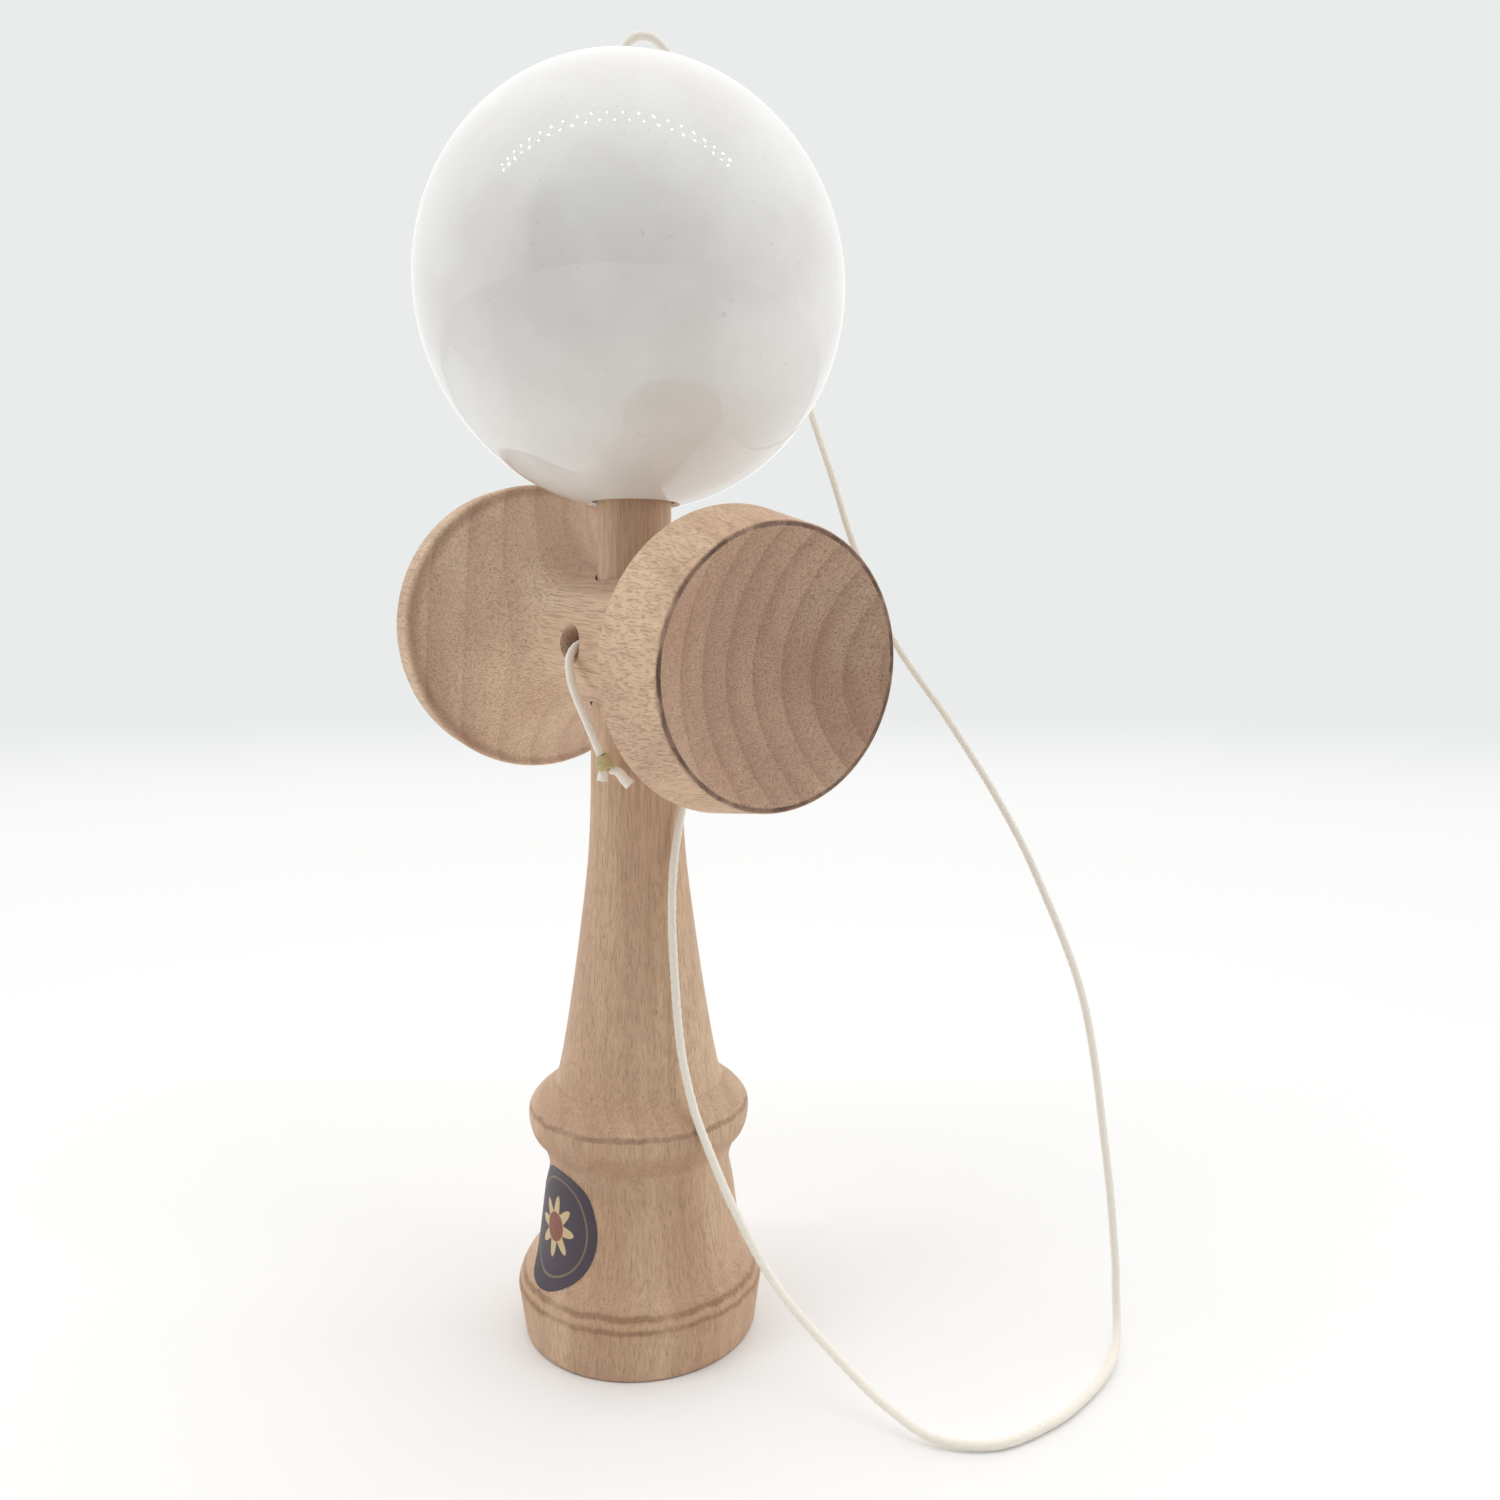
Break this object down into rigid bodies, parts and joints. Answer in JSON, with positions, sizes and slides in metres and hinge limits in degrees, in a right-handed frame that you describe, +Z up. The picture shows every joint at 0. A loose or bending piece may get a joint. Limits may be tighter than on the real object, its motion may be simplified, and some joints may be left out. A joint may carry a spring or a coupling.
{
  "type": "kendama",
  "caption": "Turned wooden kendama: a spiked handle with a base cup, a cross-piece with a large and a small cup, and a white ball on a string that sits on the spike.",
  "frame": {"origin": "centre of the base on the surface that the handle stands on", "axes": "+Z up along the handle, +X along the cross-piece towards the small cup, +Y towards the hole where the long end of the string comes out"},
  "size_m": [0.0933, 0.0886, 0.186],
  "materials": {
    "beech_handle": "fine-sanded bare beech, grain along the handle",
    "beech_crosspiece": "fine-sanded bare beech, end grain in the cups",
    "white_lacquer": "gloss white lacquer over wood",
    "bead_wood": "plain turned bead",
    "cord": "off-white braided cord"
  },
  "bodies": {
    "ken": {"ken": "beech_handle", "sarado": "beech_crosspiece", "string": "cord", "string_in_neck": "cord", "string_tail": "cord", "end_knot": "cord"},
    "bead": {"bead": "bead_wood", "bead_knot": "cord", "string_in_tama": "cord"},
    "tama": {"tama": "white_lacquer"}
  },
  "joints": [
    {"name": "tama_lift", "type": "slide", "parent": "ken", "child": "bead", "axis": [0, 0, 1], "range_m": [0, 0.06], "deforming": ["string"]},
    {"name": "tama_spin", "type": "hinge", "parent": "bead", "child": "tama", "pos_m": [0, 0, 0.1508], "axis": [0, 0, 1], "continuous": true}
  ]
}
